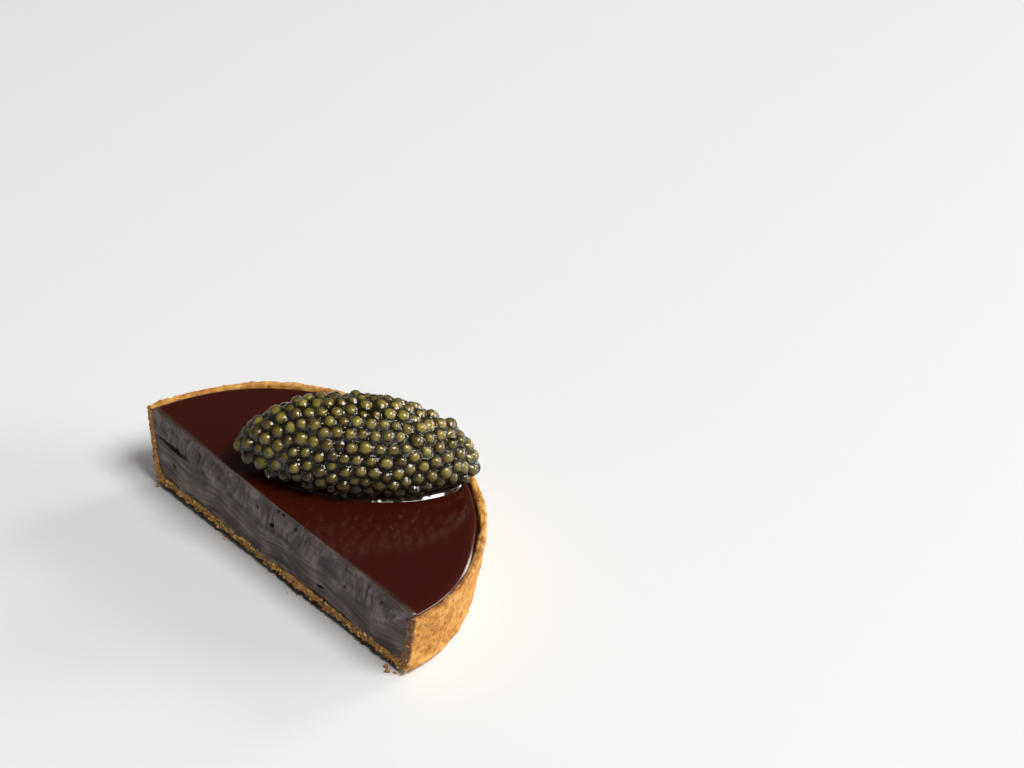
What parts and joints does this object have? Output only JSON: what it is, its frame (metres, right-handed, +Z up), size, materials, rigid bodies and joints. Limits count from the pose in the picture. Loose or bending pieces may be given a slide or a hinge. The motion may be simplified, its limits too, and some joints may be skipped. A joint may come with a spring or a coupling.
{
  "type": "chocolate tart",
  "caption": "Half of a small chocolate tart, cut through its middle: shortcrust shell, glossy ganache filling and a quenelle of caviar on top.",
  "frame": {"origin": "under the middle of the half tart's bounding box, on the surface it stands on", "axes": "+X along the cut face, +Y from the cut face towards the round side, +Z up"},
  "size_m": [0.0809, 0.0404, 0.0344],
  "materials": {
    "crust": "baked golden-brown shortcrust, dry, sandy and crumbly",
    "ganache": "set dark chocolate ganache, mirror-glossy on top, satin on the cut",
    "caviar": "wet, translucent olive-green sturgeon eggs"
  },
  "bodies": {
    "root": {"pastry_crust": "crust", "ganache_filling": "ganache", "caviar_quenelle": "caviar"}
  },
  "joints": []
}
